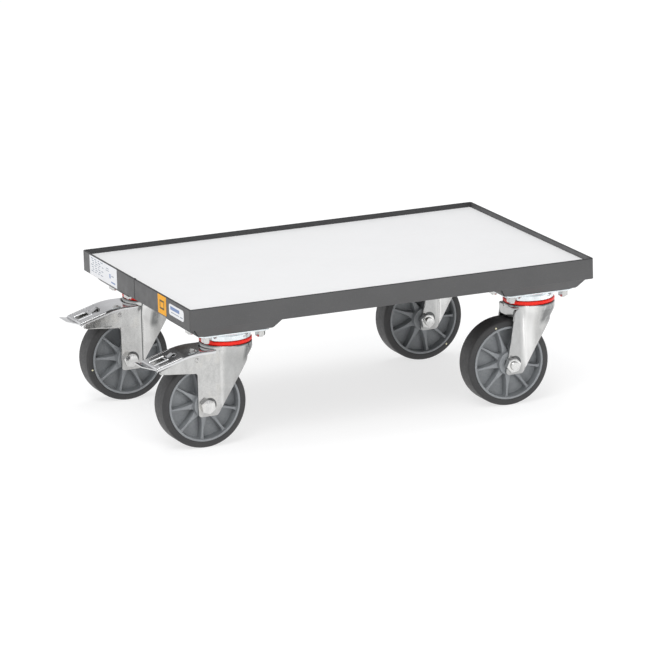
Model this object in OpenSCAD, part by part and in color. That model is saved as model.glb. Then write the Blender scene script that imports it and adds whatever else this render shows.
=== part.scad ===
// Platform trolley: a flat deck in a low steel rim on four swivel castors, two of them with a total-lock brake.
// Millimetres, +Z up. The origin is the centre of the load surface. The braked castors are at the rear, -X,
// and right is -Y, so the corners are rr, rl, fr and fl.

/* [Deck] */
// Outer length of the rim
deck_l = 615; // [600:5:900]
// Outer width of the rim
deck_w = 415; // [400:5:640]
// Both legs of the angle profile that the rim is bent from
angle_leg = 30; // [28:1:40]
// Wall of the angle profile
angle_t = 3; // [2.5:0.5:4]
// Outside radius of the rim's upright corners
corner_r = 4; // [3.5:0.5:8]
// Height of the rim above the load surface
rim_h = 7; // [5:1:10]

/* [Corner trays] */
// Side of a tray's square floor
tray_side = 112; // [110:1:120]
// Depth of a tray below the rim
tray_depth = 15; // [12:1:20]
// Sheet thickness of a tray
tray_t = 2; // [1.5:0.5:3]
// Distance from the rim's outer face to the edge of a tray's floor
tray_inset = 19; // [17:1:24]
// How far a tray flange leans outwards on its way up
flange_lean = 12; // [8:1:14]

/* [Castors] */
// Wheel diameter
wheel_d = 125; // [123:1:126]
// Height of a castor from the floor to the top of its plate
castor_h = 165; // [164:1:168]
// Distance from the swivel axis back to the axle
trail = 41; // [40:0.5:42]
// Distance from the rim's short outer face to a swivel axis
swivel_inset_x = 75; // [74:1:80]
// Distance from the rim's long outer face to a swivel axis
swivel_inset_y = 59.5; // [59:0.5:62]
// Length of a castor's top plate
plate_l = 105; // [100:1:110]
// Width of a castor's top plate
plate_w = 80; // [78:1:84]
// Bolt spacing along the top plate
bolt_dx = 80; // [76:1:82]
// Bolt spacing across the top plate
bolt_dy = 60; // [58:1:62]
// Gap between the two legs of a fork
fork_gap = 46; // [45.5:0.5:48]
// Sheet thickness of a fork
fork_t = 3; // [2.5:0.5:3]

/* [Wheels] */
// Tyre width
tyre_w = 36; // [34:1:38]
// Radius where the tyre sits on the wheel centre
seat_r = 53; // [52:0.5:54]
// Length of the wheel's hub
hub_l = 45; // [44:0.5:45]
// Ribs on each side of a wheel
rib_count = 9; // [6:1:10]

/* [Brake] */
// Distance from the swivel axis to the pedal's lip
pedal_reach = 126; // [122:1:128]
// Overall width of a pedal
pedal_w = 57; // [56:1:58]
// Slope of the pedal's straight part
pedal_slope = 16.5; // [15:0.5:17]

/* [Hidden] */
// Each corner: its name, its signs in X and Y, and the angle its wheel stands at
REAR = [["rr", -1, -1, 25], ["rl", -1, 1, 16]];
FRONT = [["fr", 1, -1, 27], ["fl", 1, 1, 38]];
CORNERS = concat(REAR, FRONT);
DECK_NODES = [
    "frame", "board", "data_label", "caution_label", "maker_label",
    "plate_bolts", "plate_washers", "plate_nuts", "swivel_balls", "kingpins", "kingpin_nuts",
];
CORNER_PARTS = [
    "tray", "plate", "seal", "fork", "axle_bolt", "axle_nut", "axle_tube", "bearing", "wheel_centre", "tyre",
];
BRAKE_PARTS = ["pedal", "brake_shoe", "brake_pins", "pedal_spring"];
$fn = 72;
eps = 0.01; // overlap that joins the solids of one piece
running = 0.05; // radial clearance of a running fit

// Deck, measured from the load surface
frame_bottom = rim_h - angle_leg;
board_t = angle_leg - angle_t - rim_h;
board_gap = 0.5;
plate_level = frame_bottom - tray_depth;
swivel_x = deck_l / 2 - swivel_inset_x;
swivel_y = deck_w / 2 - swivel_inset_y;
tray_x = deck_l / 2 - tray_inset - tray_side / 2;
tray_y = deck_w / 2 - tray_inset - tray_side / 2;
label_t = 0.3;

// Castor heads, measured down from the top of the plate
plate_t = 2.5;
housing_r = 35.5;
housing_wall = 2.5;
housing_bottom = -13;
race_face = -8.5;
ball_r = 4;
ball_z = -10.5;
ball_circle = 22;
ball_count = 15;
boss_r = 30.5;
boss_top = -12.5;
crown_top = -22;
crown_r = 37;
seal_band = -19.8;
kingpin_r = 8;
kingpin_head_r = 12;
m8_r = 4;
m8_hex_r = 7.5;
m12_r = 6;
m12_hex_r = 10.97;

// Wheels and forks
wheel_r = wheel_d / 2;
axle_z = wheel_r - castor_h;
leg_in = fork_gap / 2;
leg_out = leg_in + fork_t;
nose_front = 34; // foremost point of a fork
nose_bend_x = -18; // where a leg's side starts to taper towards the nose
nose_taper = 9;
tube_r = 8;
roller_r = 1.75;
roller_gap = 0.03;
hub_bore = tube_r + 2 * roller_r + 2 * roller_gap;
hub_r = 17;
barrel_r = 49.5;

// Brake
pedal_t = 1.5;
pedal_top = -24.4;
pedal_bend_x = -44;
pedal_bend_r = 110;
pedal_step_x = pedal_reach - 13;
pedal_pin = [-53.5, -36];
pedal_pin_r = 3;
shoe_pin = [-28, -33];
shoe_pin_r = 2.5;
shoe_half_w = 10;
ear_out = leg_in - 0.5;

// Points of an arc, from angle a to angle b
function arc(centre, r, a, b, steps = 8) =
    [for (i = [0:steps]) centre + r * [cos(a + (b - a) * i / steps), sin(a + (b - a) * i / steps)]];

// A rectangle with round corners, centred
module rounded(l, w, r) {
    square([l - 2 * r, w], center = true);
    square([l, w - 2 * r], center = true);
    for (x = [-1, 1], y = [-1, 1])
        translate([x * (l / 2 - r), y * (w / 2 - r)]) circle(r);
}

// Puts a castor's part under its corner, drawn round the swivel axis with the plate's top at zero
module at_castor(corner) {
    translate([corner[1] * swivel_x, corner[2] * swivel_y, plate_level]) children();
}

// Puts a wheel's part on its axle, drawn round Z
module on_axle() {
    translate([-trail, 0, axle_z]) rotate([90, 0, 0]) children();
}

// Draws a side outline given in X and Z, from y0 to y1
module slab(y0, y1) {
    translate([0, y1, 0]) rotate([90, 0, 0]) linear_extrude(y1 - y0) children();
}

// Repeats a part at the four bolts of each castor plate
module at_plate_bolts() {
    for (corner = CORNERS) at_castor(corner)
        for (x = [-1, 1], y = [-1, 1]) translate([x * bolt_dx / 2, y * bolt_dy / 2, 0]) children();
}

module frame() {
    color("dimgray") difference() {
        translate([0, 0, frame_bottom]) linear_extrude(angle_leg) rounded(deck_l, deck_w, corner_r);
        translate([0, 0, frame_bottom + angle_t]) linear_extrude(angle_leg)
            rounded(deck_l - 2 * angle_t, deck_w - 2 * angle_t, corner_r - angle_t);
        translate([0, 0, frame_bottom - 1]) linear_extrude(angle_leg)
            rounded(deck_l - 2 * angle_leg, deck_w - 2 * angle_leg, corner_r);
    }
}

module board() {
    margin = 2 * (angle_t + board_gap);
    color("white") translate([0, 0, -board_t]) linear_extrude(board_t) rounded(deck_l - margin, deck_w - margin, 2);
}

// A sticker on the rear face of the rim, from y0 to y1 and z0 to z1
module rear_label(y0, y1, z0, z1) {
    translate([-deck_l / 2 - label_t, y0, z0]) cube([label_t, y1 - y0, z1 - z0]);
}

module data_label() {
    color("white") rear_label(71, 179, frame_bottom + 1, rim_h - 1);
}

module caution_label() {
    color("gold") rear_label(-119, -88, frame_bottom + 2, rim_h - 1);
}

module maker_label() {
    color("white") rear_label(-185, -130, -15, 1);
}

// A folded pan: a square floor, and four flanges that lean out and stop just short of each other at the corners
module tray(corner) {
    half = tray_side / 2;
    wall = tray_t * norm([flange_lean, tray_depth]) / tray_depth;
    slit = 1;
    color("dimgray") translate([corner[1] * tray_x, corner[2] * tray_y, plate_level]) difference() {
        union() {
            translate([0, 0, tray_t / 2]) cube([tray_side, tray_side, tray_t], center = true);
            for (turn = [0:90:270]) rotate(turn) intersection() {
                slab(-tray_side, tray_side) polygon([
                    [half - wall, 0], [half, 0], [half + flange_lean, tray_depth],
                    [half + flange_lean - wall, tray_depth],
                ]);
                linear_extrude(tray_depth)
                    polygon([[slit, 0], [tray_side, tray_side - slit], [tray_side, slit - tray_side]]);
            }
        }
        for (x = [-1, 1], y = [-1, 1])
            translate([x * bolt_dx / 2, corner[2] * (swivel_y - tray_y) + y * bolt_dy / 2, -1])
                cylinder(r = m8_r + 0.5, h = tray_t + 2);
    }
}

// Top plate of a castor with the housing of the upper ball race
module plate(corner) {
    color("silver") at_castor(corner) difference() {
        union() {
            translate([0, 0, -plate_t]) linear_extrude(plate_t) rounded(plate_l, plate_w, 8);
            translate([0, 0, housing_bottom]) cylinder(r = housing_r, h = -housing_bottom - plate_t + eps);
        }
        translate([0, 0, housing_bottom - 1])
            cylinder(r = housing_r - housing_wall, h = race_face - housing_bottom + 1);
        translate([0, 0, ball_z]) rotate_extrude() translate([ball_circle, 0]) circle(ball_r + running);
        translate([0, 0, -20]) cylinder(r = kingpin_r + running, h = 21);
        translate([0, 0, -4.5]) cylinder(r = kingpin_head_r + 0.5, h = 5);
        for (x = [-1, 1], y = [-1, 1])
            translate([x * bolt_dx / 2, y * bolt_dy / 2, -plate_t - 1]) cylinder(r = m8_r + 0.5, h = plate_t + 2);
    }
}

module plate_bolts() {
    head_h = 5.3;
    color("silver") at_plate_bolts() union() {
        translate([0, 0, tray_t]) cylinder(r = m8_hex_r, h = head_h, $fn = 6);
        translate([0, 0, -12.5]) cylinder(r = m8_r, h = 12.5 + tray_t + eps);
    }
}

module plate_washers() {
    color("silver") at_plate_bolts() translate([0, 0, -plate_t - 1.6]) difference() {
        cylinder(r = 8, h = 1.6);
        translate([0, 0, -1]) cylinder(r = m8_r + 0.2, h = 4);
    }
}

module plate_nuts() {
    nut_h = 6.5;
    color("silver") at_plate_bolts() translate([0, 0, -plate_t - 1.6 - nut_h]) difference() {
        cylinder(r = m8_hex_r, h = nut_h, $fn = 6);
        translate([0, 0, -1]) cylinder(r = m8_r, h = nut_h + 2);
    }
}

module swivel_balls() {
    color("gainsboro") for (corner = CORNERS) at_castor(corner)
        for (i = [0:ball_count - 1]) rotate(360 * i / ball_count) translate([ball_circle, 0, ball_z]) sphere(ball_r);
}

module kingpins() {
    color("gray") for (corner = CORNERS) at_castor(corner) union() {
        translate([0, 0, -4.5]) cylinder(r = kingpin_head_r, h = 4);
        translate([0, 0, -34]) cylinder(r = kingpin_r, h = 30);
    }
}

module kingpin_nuts() {
    color("gray") for (corner = CORNERS) at_castor(corner) translate([0, 0, -33.2]) difference() {
        cylinder(r = 13.8, h = 8, $fn = 6);
        translate([0, 0, -1]) cylinder(r = kingpin_r, h = 10);
    }
}

// Dust ring between the housing and the crown, which turns with the fork
module seal(corner) {
    color("red") at_castor(corner) rotate_extrude() polygon([
        [33.5, crown_top], [35, crown_top], [35, seal_band], [crown_r - 0.6, seal_band],
        [crown_r, seal_band + 0.6], [crown_r, housing_bottom - 0.8], [crown_r - 0.6, housing_bottom - 0.2],
        [33.5, housing_bottom - 0.2],
    ]);
}

// Plan of a fork's outer skin, or of its inner skin when inset by the sheet: flat sides, then a tapered nose
module fork_plan(inset) {
    half = leg_out - inset;
    nose_x = (nose_front - leg_out * cos(nose_taper) - nose_bend_x * sin(nose_taper)) / (1 - sin(nose_taper));
    nose = arc([nose_x, 0], nose_front - nose_x - inset, nose_taper - 90, 90 - nose_taper);
    corner_x = nose_bend_x - inset * tan(nose_taper / 2);
    polygon(concat([[-130, -half], [corner_x, -half]], nose, [[corner_x, half], [-130, half]]));
}

// Side outline of a plain fork's legs, in X and Z
module plain_leg_outline() {
    foot = axle_z - 15.5;
    polygon(concat(
        [[-30, crown_top], [-34, -30], [-40.5, -67.5], [-48, axle_z - 4]],
        arc([-44, foot + 5.5], 5.5, 190, 262, 4),
        arc([-27.5, foot + 6.5], 6.5, 285, 325, 3),
        [[7.5, -69], [25.5, -39], [33, -27], [33, crown_top]]
    ));
}

// Side outline of a braked fork's legs and of the arms that carry the pedal, in X and Z
module braked_leg_outline() {
    foot = axle_z - 15.5;
    polygon(concat(
        [[-27, crown_top], [-27, -26.3], [pedal_pin[0], -27], [-75, -33.4], [-92, -39.3], [-107.5, -45.4]],
        arc([-106.5, -48], 2.4, 110, 240, 4),
        [[-60, -54.6]],
        arc([-57.5, -58.6], 4, 75, 0, 4),
        arc([-48.5, foot + 5], 5, 180, 262, 4),
        arc([-29, foot + 6.5], 6.5, 285, 325, 3),
        [[7.7, -69], [26.4, -38], [33, -27], [33, crown_top]]
    ));
}

// The crown: a disc with the lower ball race raised on it, and a rim that draws in towards the legs.
// A plain fork's crown is squared off behind, where the legs end; a braked one leaves that room to the pedal.
module crown(braked) {
    rim_start = braked ? -14 : -20;
    back = 36;
    translate([0, 0, crown_top - fork_t]) cylinder(r = crown_r, h = fork_t);
    if (!braked)
        translate([-back / 2, 0, crown_top - fork_t]) linear_extrude(fork_t) rounded(back, 2 * leg_out, 6);
    translate([0, 0, crown_top - eps]) cylinder(r = boss_r, h = boss_top - crown_top);
    intersection() {
        rotate_extrude() polygon([
            [crown_r, crown_top - fork_t + eps], [crown_r + 0.4, -28], [34.5, -33], [29.5, -40],
            [26.5, -40], [31, -33], [crown_r - fork_t, -28], [crown_r - fork_t, crown_top - fork_t + eps],
        ]);
        translate([rim_start, -50, -50]) cube(100);
    }
}

module fork(corner, braked) {
    color("lightgray") at_castor(corner) difference() {
        union() {
            crown(braked);
            intersection() {
                translate([0, 0, -125]) linear_extrude(125 + crown_top) difference() {
                    fork_plan(0);
                    fork_plan(fork_t);
                }
                slab(-50, 50) if (braked) braked_leg_outline(); else plain_leg_outline();
            }
        }
        translate([0, 0, -60]) cylinder(r = kingpin_r + running, h = 60);
        translate([0, 0, ball_z]) rotate_extrude() translate([ball_circle, 0]) circle(ball_r + running);
        on_axle() cylinder(r = m12_r + 0.1, h = 80, center = true);
        if (braked) {
            translate([pedal_pin[0], 0, pedal_pin[1]]) rotate([90, 0, 0])
                cylinder(r = pedal_pin_r, h = 80, center = true);
            translate([shoe_pin[0], 0, shoe_pin[1]]) rotate([90, 0, 0])
                cylinder(r = shoe_pin_r, h = 80, center = true);
        }
    }
}

// side is the face that the bolt's head is on: -1 for right, 1 for left
module axle_bolt(corner, side) {
    head_h = 7.5;
    color("silver") at_castor(corner) on_axle() rotate([side > 0 ? 180 : 0, 0, 0]) union() {
        translate([0, 0, leg_out]) cylinder(r = m12_hex_r, h = head_h, $fn = 6);
        translate([0, 0, -leg_out - 14]) cylinder(r = m12_r, h = 2 * leg_out + 14 + eps);
    }
}

module axle_nut(corner, side) {
    nut_h = 10;
    color("silver") at_castor(corner) on_axle() rotate([side > 0 ? 180 : 0, 0, 0])
        translate([0, 0, -leg_out - nut_h]) difference() {
            cylinder(r = m12_hex_r, h = nut_h, $fn = 6);
            translate([0, 0, -1]) cylinder(r = m12_r, h = nut_h + 2);
        }
}

module axle_tube(corner) {
    color("gray") at_castor(corner) on_axle() difference() {
        cylinder(r = tube_r, h = fork_gap, center = true);
        cylinder(r = m12_r + 0.1, h = fork_gap + 2, center = true);
    }
}

// Roller bearing: a cage and its rollers, between the axle tube and the hub
module bearing(corner) {
    length = hub_l - 5;
    circle_r = tube_r + roller_r + roller_gap;
    color("gainsboro") at_castor(corner) on_axle() {
        for (i = [0:9]) rotate(36 * i) translate([circle_r, 0, 0]) cylinder(r = roller_r, h = length - 4, center = true);
        difference() {
            cylinder(r = circle_r + 0.8, h = length, center = true);
            cylinder(r = circle_r - 0.8, h = length + 2, center = true);
            for (i = [0:9]) rotate(36 * i) translate([circle_r, 0, 0])
                cylinder(r = roller_r + running, h = length - 4 + 0.2, center = true);
        }
    }
}

// Outline of one rib, wide at the hub and slightly flared at the barrel
module rib_outline() {
    edge = [[hub_r - 1.5, 5.1], [20, 4.2], [25, 3], [33, 2], [42, 1.6], [47, 1.9], [barrel_r + 1, 3.2]];
    polygon(concat(edge, [for (i = [len(edge) - 1:-1:0]) [edge[i][0], -edge[i][1]]]));
}

// Wheel centre: a hub whose ends close over the bearing, a web, a barrel under the tyre, and ribs on both sides
module wheel_centre(corner) {
    web_half = 3;
    rib_half = 14.5;
    barrel_half = tyre_w / 2 + 0.5;
    cover = hub_l / 2 - 1.8;
    color("slategray") at_castor(corner) on_axle() union() {
        rotate_extrude() polygon([
            [tube_r + 0.3, -hub_l / 2], [hub_r, -hub_l / 2], [hub_r, -web_half], [barrel_r, -web_half],
            [barrel_r, -barrel_half], [seat_r - 0.02, -barrel_half], [seat_r - 0.02, barrel_half],
            [barrel_r, barrel_half], [barrel_r, web_half], [hub_r, web_half], [hub_r, hub_l / 2],
            [tube_r + 0.3, hub_l / 2], [tube_r + 0.3, cover], [hub_bore, cover], [hub_bore, -cover],
            [tube_r + 0.3, -cover],
        ]);
        for (i = [0:rib_count - 1]) rotate(corner[3] + 360 * i / rib_count)
            translate([0, 0, -rib_half]) linear_extrude(2 * rib_half) rib_outline();
    }
}

module tyre(corner) {
    half = tyre_w / 2;
    shoulder = 5;
    color("#3c3c3e") at_castor(corner) on_axle() rotate_extrude() polygon(concat(
        [[seat_r, half], [seat_r, -half]],
        arc([wheel_r - shoulder, shoulder - half], shoulder, -90, 0, 5),
        arc([wheel_r - shoulder, half - shoulder], shoulder, 0, 90, 5)
    ));
}

// Upper line of the pedal, from the crown to the lip, in X and Z
function pedal_line() =
    let (
        bend = arc([pedal_bend_x, pedal_top - pedal_bend_r], pedal_bend_r, 90, 90 + pedal_slope, 6),
        end = bend[6],
        step_z = end[1] - (end[0] + pedal_step_x) * tan(pedal_slope)
    )
    concat([[-22, pedal_top]], bend, [
        [-pedal_step_x, step_z], [-pedal_step_x - 2, step_z - 1.8], [-pedal_reach, step_z - 2.8],
    ]);

function lowered(line, drop) = [for (p = line) [p[0], p[1] - drop]];
function reversed(line) = [for (i = [len(line) - 1:-1:0]) line[i]];

// Brake pedal: a bent sheet over the fork's arms, with side flanges and two ears on the pedal pin. Its lip is cut
// off at a slant on the right.
module pedal(corner) {
    half = pedal_w / 2;
    line = pedal_line();
    edge = [for (i = [0:len(line) - 3]) line[i]];
    color("silver") at_castor(corner) difference() {
        union() {
            slab(-half, half) polygon(concat(line, reversed(lowered(line, pedal_t))));
            for (side = [-1, 1]) {
                y0 = side > 0 ? half - pedal_t : -half;
                slab(y0, y0 + pedal_t) polygon(concat(edge, reversed(lowered(edge, 4.5))));
                ear = side > 0 ? ear_out - pedal_t : -ear_out;
                slab(ear, ear + pedal_t) {
                    translate(pedal_pin) circle(6);
                    translate([pedal_pin[0] - 6, pedal_pin[1]]) square([12, pedal_top - pedal_t - pedal_pin[1]]);
                }
            }
        }
        translate([0, 0, -60]) cylinder(r = crown_r + 1.5, h = 60);
        translate([0, 0, -60]) linear_extrude(60) polygon([
            [-pedal_step_x - 1, -half - 1], [-pedal_reach - 1, -half - 1], [-pedal_reach - 1, 0],
        ]);
        translate([-102, 0, -60]) linear_extrude(60) rounded(20, 15, 2);
        translate([pedal_pin[0], 0, pedal_pin[1]]) rotate([90, 0, 0])
            cylinder(r = pedal_pin_r + running, h = 80, center = true);
    }
}

// Brake shoe: a lever over the pedal pin with a pad that follows the tyre
module brake_shoe(corner) {
    back = arc([-trail, axle_z], wheel_r + 7, 110, 131, 6);
    pad = arc([-trail, axle_z], wheel_r + 2.5, 131, 107, 6);
    color("gray") at_castor(corner) difference() {
        slab(-shoe_half_w, shoe_half_w) {
            translate(shoe_pin) circle(4.3);
            polygon(concat(
                [[shoe_pin[0], -28.7], [-66, -28.9]], back, pad, [[-60, -31.4], [-34, -31.2], [shoe_pin[0], -34]]
            ));
        }
        translate([shoe_pin[0], 0, shoe_pin[1]]) rotate([90, 0, 0])
            cylinder(r = shoe_pin_r + running, h = 80, center = true);
    }
}

// The two pins of a brake: the pedal's, with a head at each end, and the shoe's, flush with the arms
module brake_pins(corner) {
    color("silver") at_castor(corner) {
        translate([pedal_pin[0], 0, pedal_pin[1]]) rotate([90, 0, 0]) union() {
            cylinder(r = pedal_pin_r, h = 2 * leg_out, center = true);
            for (side = [0, 180]) rotate([side, 0, 0]) translate([0, 0, leg_out]) cylinder(r = 3.6, h = 0.8);
        }
        translate([shoe_pin[0], 0, shoe_pin[1]]) rotate([90, 0, 0])
            cylinder(r = shoe_pin_r, h = 2 * leg_out, center = true);
    }
}

// Return spring of the pedal: four turns on the pedal pin and a tail under the pedal
module pedal_spring(corner) {
    wire = 0.8;
    turn_r = pedal_pin_r + wire + 0.2;
    color("gray") at_castor(corner) translate([pedal_pin[0], 16, pedal_pin[1]]) rotate([90, 0, 0]) {
        for (i = [0:3]) translate([0, 0, (i - 1.5) * 2 * wire]) rotate_extrude()
            translate([turn_r, 0]) circle(wire + eps, $fn = 24);
        translate([0, turn_r, 1.5 * 2 * wire]) rotate([0, -90, 0]) cylinder(r = wire, h = 14, $fn = 24);
    }
}

frame();
board();
data_label();
caution_label();
maker_label();
plate_bolts();
plate_washers();
plate_nuts();
swivel_balls();
kingpins();
kingpin_nuts();
for (corner = CORNERS) {
    tray(corner);
    plate(corner);
    seal(corner);
    fork(corner, corner[1] < 0);
    axle_bolt(corner, corner[1]);
    axle_nut(corner, corner[1]);
    axle_tube(corner);
    bearing(corner);
    wheel_centre(corner);
    tyre(corner);
}
for (corner = REAR) {
    pedal(corner);
    brake_shoe(corner);
    brake_pins(corner);
    pedal_spring(corner);
}
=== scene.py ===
import math

import bmesh
import bpy
from mathutils import Matrix, Vector


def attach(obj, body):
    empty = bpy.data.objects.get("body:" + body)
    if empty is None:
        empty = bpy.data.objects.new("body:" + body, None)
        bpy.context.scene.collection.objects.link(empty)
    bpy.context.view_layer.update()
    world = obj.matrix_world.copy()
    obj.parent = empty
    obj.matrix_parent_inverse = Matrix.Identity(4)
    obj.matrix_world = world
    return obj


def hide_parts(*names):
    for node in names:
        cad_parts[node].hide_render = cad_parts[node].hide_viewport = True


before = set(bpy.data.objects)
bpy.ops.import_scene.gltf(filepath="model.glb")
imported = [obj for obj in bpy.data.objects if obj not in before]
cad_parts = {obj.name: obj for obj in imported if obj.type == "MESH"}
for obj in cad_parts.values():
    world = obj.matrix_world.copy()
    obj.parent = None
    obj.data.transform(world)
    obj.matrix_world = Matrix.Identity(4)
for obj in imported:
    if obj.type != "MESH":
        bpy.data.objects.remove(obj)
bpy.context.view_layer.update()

MM = 0.001
# Each castor: its side along X, its side along Y, and the angle of its wheel's first rib in degrees
CORNERS = {"rr": (-1, -1, 25), "rl": (-1, 1, 16), "fr": (1, -1, 27), "fl": (1, 1, 38)}
REAR = ("rr", "rl")
SWIVEL_X, SWIVEL_Y = 232.5, 148.0
PLATE_Z = -38.0  # top of the castors' plates
# From here on, heights on a castor are counted from the top of its plate, and X from its swivel axis
TRAIL, AXLE_Z = 41.0, -102.5
WHEEL_R, TYRE_HALF, SEAT_R, BARREL_R = 62.5, 18.0, 53.0, 49.5
LEG_OUT = 26.0  # outer face of a fork's leg
PEDAL_PIN = (-53.5, -36.0)


# ---- small maths

def lerp(a, b, t):
    return a + (b - a) * t


def smooth(t):
    t = min(1.0, max(0.0, t))
    return t * t * (3 - 2 * t)


def table_value(table, x):
    """Value at x of a table of (x, value) pairs in rising x, on straight lines between them."""
    if x <= table[0][0]:
        return table[0][1]
    for (x0, v0), (x1, v1) in zip(table, table[1:]):
        if x <= x1:
            return lerp(v0, v1, (x - x0) / (x1 - x0))
    return table[-1][1]


def arc(cx, cy, r, a, b, steps):
    """Points on a circle, from a to b degrees."""
    turns = [math.radians(lerp(a, b, i / steps)) for i in range(steps + 1)]
    return [(cx + r * math.cos(turn), cy + r * math.sin(turn)) for turn in turns]


def circle(steps):
    """The angles of evenly spaced points round a circle."""
    return [2 * math.pi * k / steps for k in range(steps)]


def filleted(points, radii, steps=4, closed=True):
    """Rounds the corners of an outline. radii is one number, or one for each point."""
    if isinstance(radii, (int, float)):
        radii = [radii] * len(points)
    out = []
    count = len(points)
    for i, (p, r) in enumerate(zip(points, radii)):
        ends = not closed and i in (0, count - 1)
        if r <= 0 or ends:
            out.append(tuple(p))
            continue
        p = Vector(p)
        a = Vector(points[i - 1]) - p
        b = Vector(points[(i + 1) % count]) - p
        la, lb = a.length, b.length
        a.normalize()
        b.normalize()
        half = a.angle(b) / 2
        if half > math.radians(88):
            out.append(tuple(p))
            continue
        cut = min(r / math.tan(half), 0.48 * la, 0.48 * lb)
        start, end = p + a * cut, p + b * cut
        for k in range(steps + 1):
            t = k / steps
            q = start * (1 - t) ** 2 + p * 2 * t * (1 - t) + end * t ** 2
            out.append(tuple(q))
    return out


# ---- mesh building

def shade(obj, angle=32):
    obj.data.shade_smooth()
    obj.data.set_sharp_from_angle(angle=math.radians(angle))


def linked(name, data):
    """A new object in the scene that shows a mesh, light or camera."""
    obj = bpy.data.objects.new(name, data)
    bpy.context.scene.collection.objects.link(obj)
    return obj


def from_bmesh(name, bm):
    """A new object from a bmesh, as it is."""
    mesh = bpy.data.meshes.new(name)
    bm.to_mesh(mesh)
    bm.free()
    return linked(name, mesh)


def to_object(name, bm, angle=32):
    """A new object from a bmesh in millimetres."""
    bmesh.ops.remove_doubles(bm, verts=bm.verts, dist=1e-4)
    bmesh.ops.recalc_face_normals(bm, faces=bm.faces)
    bmesh.ops.scale(bm, vec=(MM, MM, MM), verts=bm.verts)
    obj = from_bmesh(name, bm)
    shade(obj, angle)
    return obj


def apply_modifiers(obj):
    """Bakes an object's modifiers into its mesh."""
    bpy.context.view_layer.update()
    graph = bpy.context.evaluated_depsgraph_get()
    mesh = bpy.data.meshes.new_from_object(obj.evaluated_get(graph))
    obj.modifiers.clear()
    old = obj.data
    obj.data = mesh
    bpy.data.meshes.remove(old)


def bevel(obj, width, segments=2, angle=35):
    modifier = obj.modifiers.new("bevel", "BEVEL")
    modifier.width = width * MM
    modifier.segments = segments
    modifier.limit_method = "ANGLE"
    modifier.angle_limit = math.radians(angle)
    modifier.harden_normals = True
    modifier.use_clamp_overlap = True
    apply_modifiers(obj)
    return obj


def thickened(name, bm, thickness, angle):
    """A new object from an open sheet in millimetres. Its thickness goes inwards from the drawn face."""
    bmesh.ops.scale(bm, vec=(MM, MM, MM), verts=bm.verts)
    sheet = from_bmesh(name, bm)
    sheet.data.shade_smooth()
    solid = sheet.modifiers.new("thick", "SOLIDIFY")
    solid.thickness = thickness * MM
    solid.offset = -1
    solid.use_even_offset = True
    apply_modifiers(sheet)
    shade(sheet, angle)
    return sheet


def joined(name, *objects):
    """One object from several, keeping their meshes."""
    bm = bmesh.new()
    for obj in objects:
        mesh = obj.data
        bm.from_mesh(mesh)
        bpy.data.objects.remove(obj)
        bpy.data.meshes.remove(mesh)
    whole = from_bmesh(name, bm)
    shade(whole, 40)
    return whole


def sweep_rings(bm, rings, closed_loop=False):
    """Faces between closed rings of points that have the same count."""
    made = [[bm.verts.new(p) for p in ring] for ring in rings]
    pairs = list(zip(made, made[1:])) + ([(made[-1], made[0])] if closed_loop else [])
    for a, b in pairs:
        for i in range(len(a)):
            j = (i + 1) % len(a)
            bm.faces.new((a[i], a[j], b[j], b[i]))
    return made


def capped_sweep(bm, rings):
    """A closed solid through rings of points."""
    made = sweep_rings(bm, rings)
    bm.faces.new(made[0])
    bm.faces.new(made[-1])


def lathe(bm, profile, matrix, steps=96):
    """Turns a closed outline of (radius, height) about Z. profile can be a function of the angle."""
    rings = []
    for a in circle(steps):
        outline = profile(a) if callable(profile) else profile
        rings.append([matrix @ Vector((r * math.cos(a), r * math.sin(a), z)) for r, z in outline])
    sweep_rings(bm, rings, closed_loop=True)


def prism(bm, outline, low, high, matrix):
    """A closed solid from an outline in X and Y, between two heights."""
    capped_sweep(bm, [[matrix @ Vector((x, y, z)) for x, y in outline] for z in (low, high)])


def hexagon_piece(bm, radius, low, high, matrix, bore=0.0, both=False):
    """A hexagon nut or bolt head whose corners are turned off round, as the real ones are."""
    flat = radius * math.cos(math.pi / 6)
    drop = (radius - flat) * 0.62
    face_r = flat - 0.35
    inner = max(bore, 0.01)

    def outline(angle):
        r = flat / math.cos((angle + math.pi / 6) % (math.pi / 3) - math.pi / 6)
        cut = 0.15 + drop * (r - flat) / (radius - flat)
        foot = [(face_r, low), (r, low + cut)] if both else [(r - 0.1, low), (r, low + 0.1)]
        top = [(r, high - cut), (face_r, high), (inner + (0.6 if bore else 0), high)]
        return [(inner, low)] + foot + top + ([(inner, high - 0.6)] if bore else [])

    lathe(bm, outline, matrix)


def turned(degrees, axis="Z"):
    return Matrix.Rotation(math.radians(degrees), 4, axis)


# Turns an outline drawn in X and Y upright, into Y and Z or into X and Z
INTO_YZ = Matrix(((0, 0, 1, 0), (1, 0, 0, 0), (0, 1, 0, 0), (0, 0, 0, 1)))
INTO_XZ = Matrix(((1, 0, 0, 0), (0, 0, 1, 0), (0, 1, 0, 0), (0, 0, 0, 1)))


def on_castor(corner, x=0.0, y=0.0, z=0.0):
    """Moves a shape to a place counted from a castor's swivel axis and the top of its plate."""
    sx, sy, _ = CORNERS[corner]
    return Matrix.Translation((sx * SWIVEL_X + x, sy * SWIVEL_Y + y, PLATE_Z + z))


def axle(corner):
    """Places a shape drawn about Z on a wheel's axle: its X stays, its Y points up, its Z points right."""
    return on_castor(corner, -TRAIL, 0, AXLE_Z) @ turned(90, "X")


# ---- materials

def add_node(tree, kind, inputs=None, **settings):
    """A new shader node. Each input is given a value, or an output to take its value from."""
    node = tree.nodes.new("ShaderNode" + kind)
    for key, value in settings.items():
        setattr(node, key, value)
    for key, value in (inputs or {}).items():
        if isinstance(value, bpy.types.NodeSocket):
            tree.links.new(value, node.inputs[key])
        else:
            node.inputs[key].default_value = value
    return node


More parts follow.
